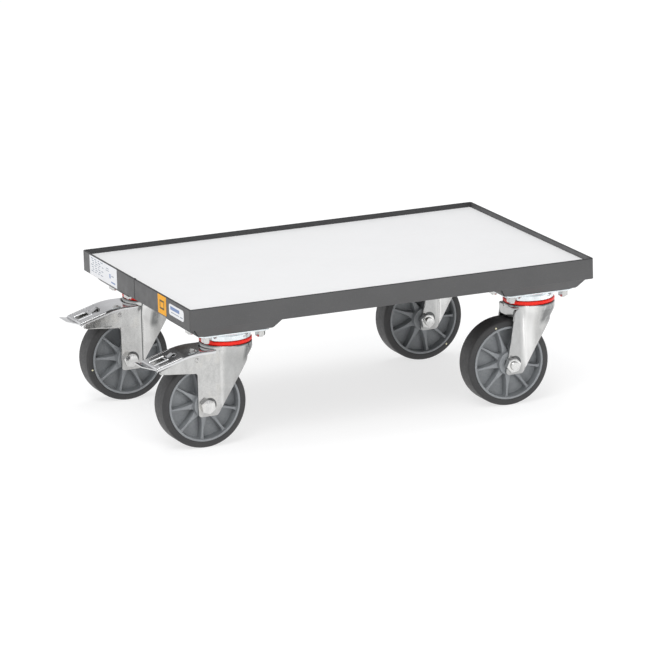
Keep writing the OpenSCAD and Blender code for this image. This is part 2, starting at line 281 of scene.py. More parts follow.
class Shader:
    """A Principled material with helpers for procedural detail in object space."""

    def __init__(self, name, color, metallic=0.0, roughness=0.5, **inputs):
        self.mat = bpy.data.materials.new(name)
        self.mat.use_nodes = True
        self.tree = self.mat.node_tree
        self.tree.nodes.clear()
        values = {"Base Color": (*color, 1), "Metallic": metallic, "Roughness": roughness}
        values.update({key.replace("_", " "): value for key, value in inputs.items()})
        self.bsdf = self.add("BsdfPrincipled", values)
        self.add("OutputMaterial", {0: self.bsdf.outputs[0]})
        self.coord = self.add("TexCoord").outputs["Object"]

    def add(self, kind, inputs=None, **settings):
        return add_node(self.tree, kind, inputs, **settings)

    def link(self, a, b):
        self.tree.links.new(a, b)

    def noise(self, scale, detail=3.0, rough=0.55, stretch=(1, 1, 1)):
        """Noise between 0 and 1. Scale is features a metre."""
        place = self.add("Mapping", {"Scale": stretch, "Vector": self.coord}).outputs[0]
        inputs = {"Scale": scale, "Detail": detail, "Roughness": rough, "Vector": place}
        return self.add("TexNoise", inputs).outputs["Fac"]

    def ranged(self, value, low, high, to_low=0.0, to_high=1.0):
        """Carries the range from low to high over to another one, and holds the ends."""
        inputs = {"Value": value, "From Min": low, "From Max": high, "To Min": to_low, "To Max": to_high}
        return self.add("MapRange", inputs).outputs[0]

    def axis(self, number, origin=0.0):
        """The place's x, y or z in metres, counted from origin."""
        split = self.add("SeparateXYZ", {0: self.coord})
        return self.math("SUBTRACT", split.outputs[number], origin)

    def span(self, value, low, high, soft):
        """1 where a length in metres is between low and high millimetres, fading out over soft."""
        up = self.ranged(value, (low - soft) * MM, low * MM)
        return self.product(up, self.ranged(value, high * MM, (high + soft) * MM, 1.0, 0.0))

    def math(self, operation, a, b):
        return self.add("Math", {0: a, 1: b}, operation=operation).outputs[0]

    def product(self, a, b):
        return self.math("MULTIPLY", a, b)

    def tint(self, factor, other):
        """Blends the base colour towards another where factor is 1, over what is there already."""
        slot = self.bsdf.inputs["Base Color"]
        now = slot.links[0].from_socket if slot.links else tuple(slot.default_value)
        inputs = {"Factor": factor, 6: now, 7: (*other, 1)}
        self.link(self.add("Mix", inputs, data_type="RGBA").outputs[2], slot)

    def rough(self, value, low, high):
        """Roughness between low and high, by a noise."""
        self.link(self.ranged(value, 0.3, 0.7, low, high), self.bsdf.inputs["Roughness"])

    def bump(self, value, depth):
        """Surface relief. depth is in millimetres."""
        node = self.add("Bump", {"Strength": 1.0, "Distance": depth * MM, "Height": value})
        slot = self.bsdf.inputs["Normal"]
        if slot.links:
            self.link(slot.links[0].from_socket, node.inputs["Normal"])
        self.link(node.outputs[0], slot)
        return self


def powder_coat():
    """Dark grey powder coat, with painted shade on the rim's top edge and left inner wall, and blacker in its
    butt weld.
    """
    s = Shader("powder_coat", (0.074, 0.074, 0.075), 0.0, 0.42, Specular_IOR_Level=0.36)
    s.tint(s.ranged(s.noise(14, 3), 0.35, 0.75), (0.083, 0.083, 0.084))
    s.tint(s.ranged(s.noise(700, 2), 0.55, 0.75, 0.0, 0.25), (0.14, 0.14, 0.14))
    height = s.axis(2)
    # painted shade on the left rim's inner wall, above the board
    above_board = s.ranged(height, 0.0, 0.8 * MM, 0.0, 0.7)
    s.tint(s.product(s.span(s.axis(1), 200, 205.3, 0.4), above_board), (0.026, 0.026, 0.027))
    # painted shade and a painted dark reflection on the rim's top edge
    s.tint(s.ranged(height, 6.0 * MM, 6.5 * MM, 0.0, 0.9), (0.012, 0.012, 0.013))
    rear_end = s.ranged(s.axis(0), -306.2 * MM, -305.7 * MM, 0.9, 0.0)
    s.tint(s.product(s.span(s.axis(1), 2.2, 3.2, 0.4), rear_end), (0.010, 0.010, 0.011))
    s.rough(s.noise(60, 3), 0.36, 0.5)
    return s.bump(s.noise(900, 2, 0.5), 0.035).bump(s.noise(260, 1, 0.5), 0.03).mat


def zinc_shader(name, color, low, high):
    """Bright zinc plate: fine grained, faintly blotchy, with weak streaks along the height."""
    s = Shader(name, color, 1.0, 0.2)
    s.tint(s.ranged(s.noise(110, 5, 0.7, (1, 1, 0.5)), 0.42, 0.66), tuple(c * 0.84 for c in color))
    s.tint(s.ranged(s.noise(48, 3, 0.6, (1, 1, 0.7)), 0.55, 0.72, 0.0, 0.5), (0.63, 0.615, 0.57))
    s.tint(s.ranged(s.noise(560, 4, 0.75), 0.50, 0.70, 0.0, 0.75), tuple(c * 0.74 for c in color))
    s.rough(s.noise(170, 4, 0.65, (1, 1, 0.35)), low, high)
    s.bump(s.noise(700, 3, 0.6, (1.0, 1.0, 0.4)), 0.014)
    return s.bump(s.noise(70, 3, 0.5, (1, 1, 0.5)), 0.07)


def zinc(name="zinc", color=(0.60, 0.60, 0.59), low=0.1, high=0.22):
    return zinc_shader(name, color, low, high).mat


# How strong the painted light is on each fork's zinc: a painted dark reflection behind its bend, a painted
# dark reflection ahead of it, a painted highlight at the bend, painted shade in the groove, a painted pale
# reflection ahead of the bend, and a painted dark reflection on the shoulder with its lowest Z and its range
# of X
FORK_PAINTED_LIGHT = {
    "rr": (0.0, 0.45, 0.25, 0.0, 0.0, 0.85, -40, 18, 28),
    "rl": (0.0, 0.0, 0.2, 0.85, 0.6, 0.80, -54, -4, 3),
    "fr": (0.5, 0.0, 0.3, 0.0, 0.75, 0.85, -43, 7, 24),
    "fl": (0.4, 0.0, 0.6, 0.2, 0.5, 0.60, -43, 10, 24),
}


def fork_zinc_and_painted_light(corner):
    """Zinc on a pressed fork, with painted reflections and a painted highlight beside the bend, a painted
    dark reflection on the shoulder, and painted shade in the groove, under the seal and behind the bolt.
    """
    s = zinc_shader("zinc_and_painted_light_fork_" + corner, (0.565, 0.565, 0.557), 0.13, 0.25)
    behind, dark_reflection_ahead, bend_highlight, groove, ahead, shoulder, bottom, back, front = FORK_PAINTED_LIGHT[corner]
    origin = on_castor(corner).translation * MM
    x = s.axis(0, origin.x)
    z = s.axis(2, origin.z)
    # painted reflections beside the bend, a painted highlight at the bend and painted shade in its groove
    bands = [
        (-60, -19.5, 1.0, behind, (0.40, 0.405, 0.405)),
        (-12, 60, 3.0, dark_reflection_ahead, (0.38, 0.385, 0.385)),
        (-17.5, -9, 9.0, ahead, (0.80, 0.80, 0.79)),
        (-18.6, -17.2, 2.4, bend_highlight, (0.86, 0.86, 0.85)),
        (-21.3, -20.1, 0.5, groove, (0.08, 0.085, 0.085)),
    ]
    for low, high, soft, amount, color in bands:
        s.tint(s.product(s.span(x, low, high, soft), amount), color)
    # a painted dark reflection on the shoulder, with a ragged edge
    drawn = s.product(s.span(x, back, front, 5.0), s.span(z, bottom, -23, 9.0))
    ragged = s.ranged(s.noise(60, 3, 0.6, (1, 1, 0.5)), 0.30, 0.52)
    s.tint(s.product(s.product(drawn, ragged), shoulder), (0.16, 0.165, 0.165))
    # painted shade: a dark line on the crown's lip, under the red seal
    lip = s.product(s.span(z, -21.0, -19.0, 0.5), s.math("SUBTRACT", 1.0, s.span(x, -20, -4, 8.0)))
    s.tint(s.product(lip, 0.85), (0.14, 0.155, 0.155))
    # painted shade: a dark disc behind the bolt or nut, beside its head
    bolt_shade_x, bolt_shade_z, bolt_shade_r = (3.9, 0.6, 9.9) if corner in REAR else (5.3, 1.9, 9.2)
    across = s.math("POWER", s.math("SUBTRACT", x, (bolt_shade_x - TRAIL) * MM), 2.0)
    upward = s.math("POWER", s.math("SUBTRACT", z, (bolt_shade_z + AXLE_Z) * MM), 2.0)
    reach = s.math("POWER", s.math("ADD", across, upward), 0.5)
    s.tint(s.ranged(reach, bolt_shade_r * MM, (bolt_shade_r + 0.6) * MM, 0.9, 0.0), (0.07, 0.075, 0.075))
    return s.mat


def chrome():
    s = Shader("pedal_chrome", (0.67, 0.675, 0.68), 1.0, 0.1)
    s.tint(s.ranged(s.noise(60, 3), 0.4, 0.75), (0.6, 0.6, 0.6))
    s.rough(s.noise(140, 3), 0.05, 0.13)
    s.bump(s.noise(45, 2), 0.05)
    return s.bump(s.noise(900, 2, 0.6, (1, 0.15, 1)), 0.006).mat


def ground_steel():
    s = Shader("bearing_steel", (0.5, 0.5, 0.51), 1.0, 0.25)
    s.tint(s.ranged(s.noise(80, 3), 0.4, 0.7), (0.4, 0.4, 0.41))
    s.rough(s.noise(300, 3), 0.2, 0.36)
    return s.bump(s.noise(1500, 2, 0.5, (1, 1, 0.1)), 0.005).mat


def seal_plastic():
    s = Shader("seal_red", (0.86, 0.020, 0.008), 0.0, 0.3, Specular_IOR_Level=0.3)
    s.tint(s.ranged(s.noise(120, 2), 0.4, 0.7), (0.78, 0.016, 0.008))
    s.rough(s.noise(400, 2), 0.24, 0.36)
    return s.bump(s.noise(700, 2), 0.012).mat


def rubber():
    s = Shader("tyre_rubber", (0.036, 0.036, 0.037), 0.0, 0.5, Specular_IOR_Level=0.4)
    s.tint(s.ranged(s.noise(45, 3), 0.4, 0.75), (0.044, 0.043, 0.043))
    s.tint(s.ranged(s.noise(1100, 3, 0.7), 0.55, 0.8, 0.0, 0.35), (0.1, 0.1, 0.1))
    s.rough(s.noise(220, 3), 0.44, 0.6)
    return s.bump(s.noise(1300, 3, 0.6), 0.03).mat


def wheel_plastic():
    s = Shader("wheel_grey", (0.240, 0.252, 0.262), 0.0, 0.36, Specular_IOR_Level=0.45)
    s.tint(s.ranged(s.noise(60, 3), 0.4, 0.7), (0.215, 0.226, 0.236))
    s.tint(s.ranged(s.noise(1500, 2, 0.6), 0.55, 0.8, 0.0, 0.25), (0.31, 0.32, 0.33))
    s.tint(s.ranged(s.noise(420, 4, 0.75), 0.46, 0.66, 0.0, 0.6), (0.165, 0.175, 0.182))
    s.rough(s.noise(300, 3), 0.3, 0.42)
    return s.bump(s.noise(1200, 2, 0.5), 0.02).bump(s.noise(120, 2), 0.05).mat


def laminate():
    s = Shader("laminate", (0.806, 0.807, 0.808), 0.0, 0.48)
    s.tint(s.ranged(s.noise(12, 3), 0.35, 0.75, 0.0, 0.6), (0.781, 0.782, 0.783))
    s.tint(s.ranged(s.noise(1300, 2, 0.7), 0.6, 0.8, 0.0, 0.35), (0.64, 0.645, 0.65))
    # painted shade: the board is dark below 19 mm under its top, on its underside
    s.tint(s.ranged(s.axis(2), -19.5 * MM, -19.0 * MM, 1.0, 0.0), (0.05, 0.043, 0.037))
    s.rough(s.noise(90, 3), 0.42, 0.56)
    return s.bump(s.noise(1100, 3, 0.6), 0.02).mat


def print_box(s, y, z, wide, high):
    """1 inside a printed box with its centre at y and z, and the half width and half height given."""
    soft = 0.12
    bands = []
    for axis, centre, half in ((1, y, wide), (2, z, high)):
        off = s.math("ABSOLUTE", s.axis(axis, centre * MM), 0.0)
        bands.append(s.ranged(off, (half - soft) * MM, (half + soft) * MM, 1.0, 0.0))
    return s.product(*bands)


def white_film(name, boxes):
    """White printed film with plain bars. boxes are (y, z, half width, half height, colour)."""
    s = Shader(name, (0.80, 0.81, 0.83), 0.0, 0.32, Coat_Weight=0.2)
    s.tint(s.ranged(s.noise(90, 2), 0.4, 0.7), (0.77, 0.78, 0.80))
    for y, z, wide, high, color in boxes:
        s.tint(print_box(s, y, z, wide, high), color)
    s.rough(s.noise(200, 2), 0.28, 0.4)
    return s.bump(s.noise(300, 2), 0.02).mat


def yellow_film():
    s = Shader("label_yellow", (0.90, 0.405, 0.006), 0.0, 0.4, Specular_IOR_Level=0.12)
    s.tint(s.ranged(s.noise(90, 2), 0.4, 0.7), (0.85, 0.38, 0.006))
    # a plain square
    s.tint(print_box(s, -103.5, -7.5, 8.5, 6.5), (0.10, 0.075, 0.02))
    s.tint(print_box(s, -103.5, -7.5, 6.0, 4.0), (0.90, 0.405, 0.006))
    s.rough(s.noise(200, 2), 0.3, 0.42)
    return s.bump(s.noise(300, 2), 0.02).mat


def paint_dot():
    s = Shader("tyre_mark", (0.78, 0.74, 0.52), 0.0, 0.5)
    s.tint(s.ranged(s.noise(900, 3), 0.4, 0.7), (0.6, 0.57, 0.4))
    return s.bump(s.noise(1500, 2), 0.02).mat


POWDER = powder_coat()
ZINC = zinc()
ZINC_BLUE = zinc("zinc_bluish", (0.82, 0.875, 0.90), 0.12, 0.26)
ZINC_BRIGHT = zinc("zinc_bright", (0.74, 0.74, 0.73), 0.08, 0.18)
CHROME = chrome()
STEEL = ground_steel()
SEAL = seal_plastic()
RUBBER = rubber()
WHEEL = wheel_plastic()
LAMINATE = laminate()
MARK = paint_dot()


def finish_piece(obj, body, material, slot, *nodes):
    """Gives a piece its material and body, and hides the CAD nodes that it stands for. slot is not used."""
    obj.data.materials.clear()
    obj.data.materials.append(material)
    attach(obj, body)
    if nodes:
        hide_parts(*nodes)


def paint_node(node, material):
    """Gives a CAD node that stays in view its material."""
    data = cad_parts[node].data
    for i in range(max(1, len(data.materials))):
        if data.materials:
            data.materials[i] = material
        else:
            data.materials.append(material)


# ---- deck

RIM_L, RIM_W, RIM_TOP, LEG, WALL = 615.0, 415.0, 7.0, 30.0, 3.0
RIM_CORNER = 4.0
RIM_BOTTOM = RIM_TOP - LEG


def rim_point(depth, angle, sx, sy):
    """Plan position at a corner for a point of the profile that lies depth inside the rim's outer face."""
    reach = max(RIM_CORNER, depth)
    r = max(RIM_CORNER - depth, 0.0)
    return (
        sx * (RIM_L / 2 - reach + r * math.cos(angle)),
        sy * (RIM_W / 2 - reach + r * math.sin(angle)),
    )


def make_rim():
    """The frame of angle profile, in one loop round the board."""
    shelf = RIM_BOTTOM + WALL
    profile = filleted(
        [(0, RIM_BOTTOM), (LEG, RIM_BOTTOM), (LEG, shelf), (WALL, shelf), (WALL, RIM_TOP), (0, RIM_TOP)],
        [1.2, 1.3, 1.3, 2.5, 1.0, 1.0], 4,
    )
    bm = bmesh.new()
    rings = []
    steps = 6
    for sx, sy in ((-1, -1), (1, -1), (1, 1), (-1, 1)):
        for k in range(steps + 1):
            t = k / steps
            a = math.pi / 2 * (t if sx * sy > 0 else 1 - t)
            rings.append([(*rim_point(d, a, sx, sy), z) for d, z in profile])
    sweep_rings(bm, rings, closed_loop=True)
    finish_piece(to_object("rim", bm, 40), "root", POWDER, "powder_coat", "frame")


def make_weld():
    """The butt weld of the rim, ground nearly flush, with a small bead left on its top edge."""
    bm = bmesh.new()
    rings = []
    rows = 30
    for k in range(rows + 1):
        z = lerp(RIM_BOTTOM + 0.6, RIM_TOP - 0.4, k / rows)
        wobble = 0.35 * math.sin(k * 1.9) + 0.2 * math.sin(k * 4.3)
        half = 1.7 + 0.25 * math.sin(k * 2.7)
        rise = 0.28 + 0.08 * math.sin(k * 3.1)
        ring = []
        for j in range(17):
            a = math.pi * j / 16
            lobe = 0.4 + rise * math.sin(a) ** 0.5 - 0.85 * math.exp(-((a - 1.8) / 0.13) ** 2)
            x = -RIM_L / 2 + 0.4 - lobe * min(1.0, 4 * math.sin(a))
            ring.append((x, 3 + wobble + half * math.cos(a), z))
        rings.append(ring)
    capped_sweep(bm, rings)
    bead = []
    for k in range(9):
        a = math.pi * k / 8
        y = 3.2 + 3.2 * math.cos(a)
        r = 1.25 * math.sin(a) ** 0.6 + 0.02
        x, z = -RIM_L / 2 + 1.6, RIM_TOP - 0.25
        bead.append([(x + r * 1.25 * math.cos(b), y, z + r * math.sin(b)) for b in circle(12)])
    capped_sweep(bm, bead)
    finish_piece(to_object("rim_weld", bm, 60), "root", POWDER, "powder_coat")


TRAY_HALF, TRAY_DEPTH, TRAY_LEAN, TRAY_T = 56.0, 15.0, 12.0, 2.0
TRAY_X, TRAY_Y = 232.5, 132.5


def make_tray(corner):
    """The folded tray under a corner: a flat middle and four slanted sides that meet at mitres."""
    sx, sy, _ = CORNERS[corner]
    place = Matrix.Translation((sx * TRAY_X, sy * TRAY_Y, PLATE_Z))
    bm = bmesh.new()
    slant = Vector((TRAY_LEAN, TRAY_DEPTH)).normalized()
    inward = Vector((-slant.y, slant.x)) * TRAY_T
    foot, top = Vector((TRAY_HALF, 0)), Vector((TRAY_HALF + TRAY_LEAN, TRAY_DEPTH))
    inner_foot = foot + inward + slant * ((TRAY_T - inward.y) / slant.y)
    inner_top = top + inward + slant * ((TRAY_DEPTH - (top + inward).y) / slant.y)
    start = TRAY_HALF - 9
    outline = filleted(
        [(start, 0), tuple(foot), tuple(top), tuple(inner_top), tuple(inner_foot), (start, TRAY_T)],
        [0, 4.5, 0.2, 0.2, 2.2, 0], 5,
    )
    for turn in range(4):
        spin = place @ turned(90 * turn)
        rings = []
        for side in (-1, 1):
            rings.append([spin @ Vector((u, side * (u - 1.0 - 0.02 * z), z)) for u, z in outline])
        capped_sweep(bm, rings)
    inner = start + 0.2
    prism(bm, [(-inner, -inner), (inner, -inner), (inner, inner), (-inner, inner)], 0, TRAY_T, place)
    tray = to_object("tray_" + corner + "_folded", bm, 40)
    bevel(tray, 0.3, 2, 50)
    finish_piece(tray, "root", POWDER, "powder_coat", "tray_" + corner)


def plain_label(name, y0, y1, z0, z1, radius, material, slot, node):
    """A thin label on the rear end face."""
    bm = bmesh.new()
    outline = filleted([(y0, z0), (y1, z0), (y1, z1), (y0, z1)], radius, 6)
    turn = Matrix(((0, 0, -1, -RIM_L / 2), (1, 0, 0, 0), (0, 1, 0, 0), (0, 0, 0, 1)))
    prism(bm, outline, -0.05, 0.3, turn)
    label = to_object(name, bm, 40)
    bevel(label, 0.08, 1, 50)
    finish_piece(label, "root", material, slot, node)


def make_labels():
    """Three labels with plain bars and a plain square. None of them says anything."""
    grey, blue = (0.22, 0.26, 0.33), (0.10, 0.19, 0.42)
    lines = []
    for row in range(7):
        z = 3.0 - 3.1 * row
        for k in range(4 - row % 2):
            lines.append((168 - 12.5 * k - 2 * (row % 3), z, 4.6 - 0.8 * ((row + k) % 3), 0.6, grey))
    lines += [
        (108, 0, 5, 0.5, grey), (108, -3, 6.5, 0.5, grey), (98, -9, 2.2, 3.2, blue), (88, -8, 4.5, 0.8, grey),
        (86, -17, 8, 1.1, blue),
    ]
    bars = [(-152, -4.5, 17, 2.5, blue), (-152, -10.5, 15, 0.6, grey), (-176, -10.5, 5, 0.8, grey)]
    data = white_film("label_data", lines)
    plain_label("data_film", 71, 179, -22, 6, 0.6, data, "label_white", "data_label")
    plain_label("caution_film", -119, -88, -21, 6, 0.8, yellow_film(), "label_yellow", "caution_label")
    maker = white_film("label_maker", bars)
    plain_label("maker_film", -185, -130, -15, 1, 5, maker, "label_white", "maker_label")


# ---- castors

PLATE_X, PLATE_Y, PLATE_CORNER = 52.5, 40.0, 8.0


def plate_reach(c, s):
    """How far the castor plate's edge is from its centre along a ray with cosine c and sine s."""
    reach = min(PLATE_X / max(abs(c), 1e-6), PLATE_Y / max(abs(s), 1e-6))
    x, y = reach * c, reach * s
    flat_x, flat_y = PLATE_X - PLATE_CORNER, PLATE_Y - PLATE_CORNER
    if abs(x) <= flat_x or abs(y) <= flat_y:
        return reach
    cx, cy = math.copysign(flat_x, x), math.copysign(flat_y, y)
    b = cx * c + cy * s
    return b + math.sqrt(max(b * b - (cx * cx + cy * cy - PLATE_CORNER ** 2), 0))


def make_head(corner):
    """Top plate and the housing of the upper ball race."""
    hole, low = 12.5, -2.5

    def plate(angle):
        edge = plate_reach(math.cos(angle), math.sin(angle))
        return [(hole, low), (edge - 0.5, low), (edge, low + 0.5), (edge, -0.5), (edge - 0.5, 0), (hole, 0)]

    bm = bmesh.new()
    lathe(bm, plate, on_castor(corner))
    groove = arc(22, -10.5, 4.06, 150, 30, 8)
    profile = filleted(
        [(8.05, -4.5), (hole, -4.5), (hole, -2.6), (31.5, -2.4), (34.3, -3.1), (35.5, -6.0), (35.5, -13),
         (33, -13), (33, -8.5)],
        [0, 0, 0, 2, 2, 2, 0.8, 0.6, 1.5], 4,
    )
    profile += list(reversed(groove)) + [(8.05, -8.5)]
    lathe(bm, profile, on_castor(corner))
    finish_piece(to_object("head_" + corner, bm, 40), "root", ZINC_BLUE, "zinc", "plate_" + corner)


def make_head_mark(corner):
    """The short punched slot on the front right of the housing."""
    bm = bmesh.new()
    turn = on_castor(corner) @ turned(-62)
    turn = turn @ Matrix.Translation((35.45, 0, -8.6)) @ turned(90, "Y")
    prism(bm, filleted([(-1.1, -3.2), (1.1, -3.2), (1.1, 3.2), (-1.1, 3.2)], 0.9, 4), -0.3, 0.12, turn)
    finish_piece(to_object("head_slot_" + corner, bm, 40), "root", STEEL, "bearing_steel")


def make_seal(corner):
    """The red dust ring."""
    profile = filleted(
        [(33.5, -21.5), (34.6, -21.5), (34.6, -17.9), (37, -17.8), (37, -13.3), (33.5, -13.2)],
        [0.2, 0.2, 0.2, 1.1, 1.5, 0.3], 5,
    )
    bm = bmesh.new()
    lathe(bm, profile, on_castor(corner))
    ring = to_object("dust_ring_" + corner, bm, 40)
    finish_piece(ring, "swivel_" + corner, SEAL, "seal_red", "seal_" + corner)


def make_plate_nuts():
    """The nuts of the castor plates. The four on a plate are each turned another way."""
    bm = bmesh.new()
    for corner in CORNERS:
        for i, (x, y) in enumerate(((-40, -30), (40, -30), (40, 30), (-40, 30))):
            spin = turned(17 * i + 9)
            hexagon_piece(bm, 7.5, -10.6, -4.1, on_castor(corner, x, y) @ spin, 4.0, True)
    finish_piece(to_object("hex_nuts_m8", bm, 30), "root", ZINC, "zinc", "plate_nuts")


# The plan of a fork: a nose arc, tapered sides, a slight bend, then straight legs
NOSE_FRONT, BEND_X, TAPER = 34.0, -18.0, math.radians(9)
NOSE_X = (NOSE_FRONT - LEG_OUT * math.cos(TAPER) + -BEND_X * math.sin(TAPER)) / (1 - math.sin(TAPER))
NOSE_R = NOSE_FRONT - NOSE_X


def fork_path():
    """Half of the fork's plan as points (x, y, length along it), from the nose backwards."""
    points = arc(NOSE_X, 0, NOSE_R, 0, 90 - math.degrees(TAPER), 24)
    radius = 2.5
    cut = radius * math.tan(TAPER / 2)
    tangent = (BEND_X + cut * math.cos(TAPER), LEG_OUT - cut * math.sin(TAPER))
    sx, sy = points[-1]
    for k in range(1, 7):
        points.append((lerp(sx, tangent[0], k / 6), lerp(sy, tangent[1], k / 6)))
    for k in range(1, 5):
        a = math.pi / 2 - TAPER * (1 - k / 4)
        points.append((BEND_X - cut + radius * math.cos(a), LEG_OUT - radius + radius * math.sin(a)))
    x = points[-1][0]
    # the press leaves a shallow groove behind the bend
    for step, sunk in ((0.7, 0.5), (1.4, 0.52), (2.1, 0.0)):
        points.append((x - step, LEG_OUT - sunk))
    x -= 2.1
    while x > -130:
        x -= 4 if x > -64 else 8
        points.append((x, LEG_OUT))
    out, run = [], 0.0
    for i, (px, py) in enumerate(points):
        if i:
            run += math.dist((px, py), points[i - 1])
        out.append((px, py, run))
    return out


PATH = fork_path()


def run_at_x(x):
    """Length along the fork's plan where it reaches x."""
    for (x0, _, s0), (x1, _, s1) in zip(PATH, PATH[1:]):
        if x0 >= x >= x1:
            return s0 if x0 == x1 else lerp(s0, s1, (x0 - x) / (x0 - x1))
    return PATH[-1][2] if x < 0 else 0.0


def plan_at(run):
    """X and Y at a length along the fork's plan."""
    for (x0, y0, s0), (x1, y1, s1) in zip(PATH, PATH[1:]):
        if run <= s1:
            t = (run - s0) / (s1 - s0)
            return lerp(x0, x1, t), lerp(y0, y1, t)
    return PATH[-1][:2]


FOOT = AXLE_Z - 15.5  # lower end of the legs


def leg_outline(braked):
    """Outline of one side of a fork before it is bent, as (x, z), starting at the top of the nose."""
    top = -23.6
    nose = [(30, -39.8), (NOSE_FRONT, -39.6)]
    if braked:
        # an arm reaches back under the pedal
        back = [(-27, top), (-27, -26.3), (PEDAL_PIN[0], -27), (-75, -33.4), (-92, -39.3), (-107.5, -45.4)]
        back += arc(-106.5, -48, 2.4, 110, 240, 5) + [(-60, -54.6)] + arc(-57.5, -58.6, 4, 75, 0, 5)
        foot = arc(-48.5, FOOT + 5, 5, 180, 262, 6) + arc(-29, FOOT + 6.5, 6.5, 285, 325, 5)
        front = [(7.7, -69), (25.6, -41.5)]
    else:
        back = [(-30, top), (-34, -30), (-40.5, -67.5), (-48, AXLE_Z - 4)]
        foot = arc(-44, FOOT + 5.5, 5.5, 190, 262, 6) + arc(-27.5, FOOT + 6.5, 6.5, 285, 325, 5)
        front = [(7.5, -69), (25.2, -41.5)]
    return [(NOSE_FRONT, top)] + back + foot + front + nose


# Radius of the drawn shoulder below the crown, by height: at the nose, and along the sides
NOSE_DRAWN = [(-40, 29.6), (-36, 32.6), (-33, 34.6), (-30, 36.3), (-27.5, 37.0), (-25, 37.1), (-23, 36.8)]
SIDE_DRAWN = [
    (-78, 19.5), (-66, 21.5), (-58, 23.6), (-52, 25.6), (-46, 28.2), (-42, 30.2), (-38, 32.3), (-34, 34.4),
    (-31, 35.8), (-28.5, 36.7), (-26, 37.1), (-23, 36.8),
]
# Heights where the sheet is divided, so that it can take the shoulder's curve
FORK_LEVELS = [
    -24.8, -26, -27.2, -28.4, -29.6, -31, -32.5, -34, -35.5, -37, -38.5, -40, -41.5, -43.2, -45, -47, -50,
    -54, -60, -80, -100,
]


def bent(run, z):
    """Where a point of the flat fork sheet ends up: along the plan, and out to the crown's shoulder."""
    x, y = plan_at(run)
    angle = math.atan2(y, x)
    radius = math.hypot(x, y)
    side = table_value(SIDE_DRAWN, z)
    outer = (side + radius + math.sqrt((side - radius) ** 2 + 8.0)) / 2
    outer = lerp(table_value(NOSE_DRAWN, z), outer, smooth((math.degrees(angle) - 22) / 26))
    radius = lerp(radius, outer, smooth((x + 27) / 15))
    return radius * math.cos(angle), radius * math.sin(angle)


def fork_sheet(corner, braked):
    """The legs and nose in one sheet. It is drawn flat, divided, bent, and mirrored to the other side."""
    bm = bmesh.new()
    outline = [(run_at_x(x), z) for x, z in leg_outline(braked)]
    clean = [p for i, p in enumerate(outline) if math.dist(p, outline[i - 1]) > 0.05]
    bm.faces.new([bm.verts.new((s, 0, z)) for s, z in clean])
    back_end = max(s for s, _ in clean)
    cuts = [((s, 0, 0), (1, 0, 0)) for _, _, s in PATH[1:-1] if s < back_end]
    cuts += [((0, 0, z), (0, 0, 1)) for z in FORK_LEVELS]
    for point, normal in cuts:
        sheet = bm.verts[:] + bm.edges[:] + bm.faces[:]
        bmesh.ops.bisect_plane(bm, geom=sheet, plane_co=point, plane_no=normal, dist=1e-4)
    for v in bm.verts:
        x, y = bent(v.co.x, v.co.z)
        v.co = (x, y, v.co.z)
    mirror = bmesh.ops.duplicate(bm, geom=bm.verts[:] + bm.edges[:] + bm.faces[:])
    for v in [g for g in mirror["geom"] if isinstance(g, bmesh.types.BMVert)]:
        v.co.y = -v.co.y
    for v in bm.verts:
        if abs(v.co.y) < 0.02:
            v.co.y = 0
    bmesh.ops.remove_doubles(bm, verts=bm.verts, dist=0.01)
    bmesh.ops.recalc_face_normals(bm, faces=bm.faces)
    outward = sum(f.normal.dot(f.calc_center_median() * Vector((1, 1, 0))) for f in bm.faces)
    if outward < 0:
        bmesh.ops.reverse_faces(bm, faces=bm.faces)
    bmesh.ops.transform(bm, matrix=on_castor(corner), verts=bm.verts)
    return bevel(thickened("sheet", bm, 3.0, 40), 0.5, 2, 50)


def make_fork(corner):
    """The pressed fork: the lower ball race in its crown, and the bent sheet with the legs."""
    braked = corner in REAR
    place = on_castor(corner)
    bm = bmesh.new()
    groove = arc(22, -10.5, 4.06, -148, -32, 8)
    edge = filleted(
        [(30.5, -12.5), (30.5, -21.9), (34.4, -22), (34.7, -18.9), (37.1, -19.0), (37.2, -25), (35.6, -25)],
        [1, 0.6, 0.8, 0.7, 2.6, 0.4, 0], 5, closed=False)
    lathe(bm, [(8.05, -25), (8.05, -12.5)] + groove + edge, place)
    if not braked:
        # behind, the crown is squared off to the ends of the legs
        back = filleted([(-36, -26), (-8, -26), (-8, 26), (-36, 26)], [6, 0, 0, 6], 6)
        rings = []
        for inset, z in ((0.9, -25), (0, -24.2), (0, -22.8), (0.9, -22.02)):
            in_x, in_y = 1 - inset / 14, 1 - inset / 26
            rings.append([place @ Vector((-22 + (x + 22) * in_x, y * in_y, z)) for x, y in back])
        capped_sweep(bm, rings)
        # its back edge is turned down, clear of the tyre
        flange = filleted([(-24, -23.0), (24, -23.0), (21, -37), (-21, -37)], [0, 0, 5, 5], 5)
        prism(bm, flange, -35.6, -33.2, place @ INTO_YZ)
    crown = to_object("crown", bm, 40)
    fork = joined("fork_pressed_" + corner, crown, fork_sheet(corner, braked))
    finish_piece(fork, "swivel_" + corner, fork_zinc_and_painted_light(corner), "zinc", "fork_" + corner)


HEX_TURN = {"rr": 8, "rl": 20, "fr": 38, "fl": 12}  # how far each axle's hexagons are turned, in degrees


